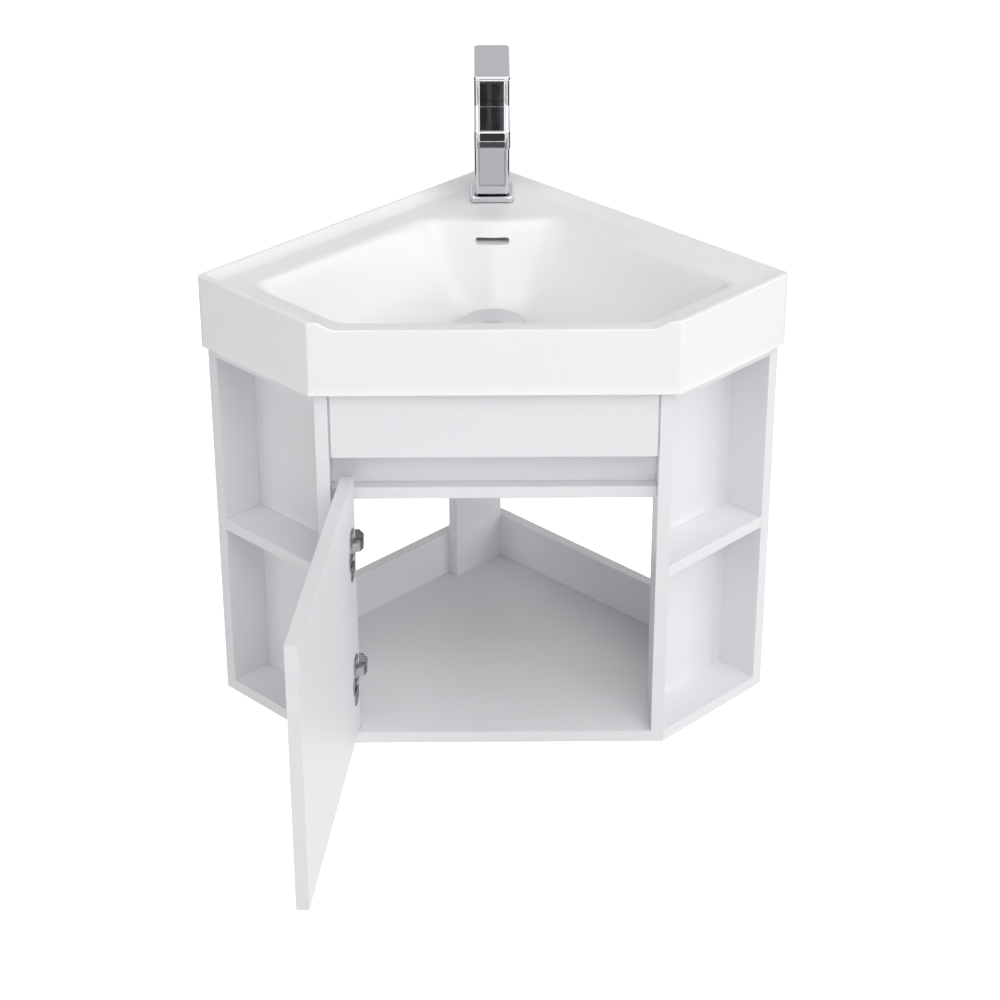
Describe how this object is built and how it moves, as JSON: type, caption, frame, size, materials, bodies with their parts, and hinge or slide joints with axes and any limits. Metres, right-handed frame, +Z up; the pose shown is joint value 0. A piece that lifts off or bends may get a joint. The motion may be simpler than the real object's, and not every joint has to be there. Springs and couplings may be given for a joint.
{
  "type": "corner vanity unit",
  "caption": "Wall-hung five-sided vanity unit for a room corner, with a basin, a lever mixer tap, open shelf niches in its short sides and a hinged door under a finger channel.",
  "frame": {"origin": "where the two room walls meet, at the level of the cabinet's underside", "axes": "+X to the viewer's right, +Y from the front into the room's corner, +Z up; the walls run back to (-1, -1) and (1, -1)"},
  "size_m": [0.5898, 0.7102, 0.6428],
  "materials": {
    "cabinet_board": "satin white lacquer on 13 mm board, edges slightly eased",
    "basin_glaze": "satin white glaze",
    "tap_chrome": "polished chrome plate",
    "hinge_nickel": "nickel-plated pressed steel",
    "fixing_steel": "zinc-plated steel",
    "seal_rubber": "black rubber",
    "fitting_plastic": "white plastic"
  },
  "bodies": {
    "cabinet": {"floor_panel": "cabinet_board", "left_side_panel": "cabinet_board", "right_side_panel": "cabinet_board", "left_niche_back": "cabinet_board", "right_niche_back": "cabinet_board", "left_end_panel": "cabinet_board", "right_end_panel": "cabinet_board", "left_niche_top": "cabinet_board", "right_niche_top": "cabinet_board", "left_shelf": "cabinet_board", "right_shelf": "cabinet_board", "shelf_pins": "fixing_steel", "corner_post": "cabinet_board", "left_low_rail": "cabinet_board", "right_low_rail": "cabinet_board", "left_top_rail": "cabinet_board", "right_top_rail": "cabinet_board", "false_front": "cabinet_board", "false_front_blocks": "cabinet_board", "grip_rail": "cabinet_board", "grip_back": "cabinet_board", "floor_screws": "fixing_steel", "hinge_arms": "hinge_nickel", "hinge_plates": "hinge_nickel", "plate_screws": "fixing_steel", "basin": "basin_glaze", "waste_body": "tap_chrome", "waste_top_seal": "seal_rubber", "waste_low_seal": "seal_rubber", "waste_nut": "tap_chrome", "waste_guide": "fitting_plastic", "tap_foot": "tap_chrome", "tap_body": "tap_chrome", "tap_spout": "tap_chrome", "tap_gasket": "seal_rubber", "tap_stud": "fixing_steel", "tap_clamp": "fixing_steel", "tap_nut": "fixing_steel", "tap_aerator": "fitting_plastic", "tap_cartridge": "fitting_plastic"},
    "door": {"door_panel": "cabinet_board", "hinge_cups": "hinge_nickel", "cup_screws": "fixing_steel", "hinge_pins": "fixing_steel"},
    "tap_swivel": {"tap_head": "tap_chrome", "tap_spindle": "fixing_steel", "lever_pin": "fixing_steel"},
    "lever": {"tap_lever": "tap_chrome"},
    "plug": {"waste_plug": "tap_chrome"}
  },
  "joints": [
    {"name": "door_hinge", "type": "hinge", "parent": "cabinet", "child": "door", "pos_m": [-0.15088, -0.39845, 0.158], "axis": [0, 0, 1], "range_deg": [0, 96.5]},
    {"name": "lever_swivel", "type": "hinge", "parent": "cabinet", "child": "tap_swivel", "pos_m": [0, -0.07, 0.62], "axis": [0, 0, 1], "range_deg": [-45, 45]},
    {"name": "lever_lift", "type": "hinge", "parent": "tap_swivel", "child": "lever", "pos_m": [0, -0.06025, 0.6314], "axis": [-1, 0, 0], "range_deg": [0, 20]},
    {"name": "plug_press", "type": "slide", "parent": "cabinet", "child": "plug", "axis": [0, 0, 1], "range_m": [-0.0065, 0]}
  ]
}
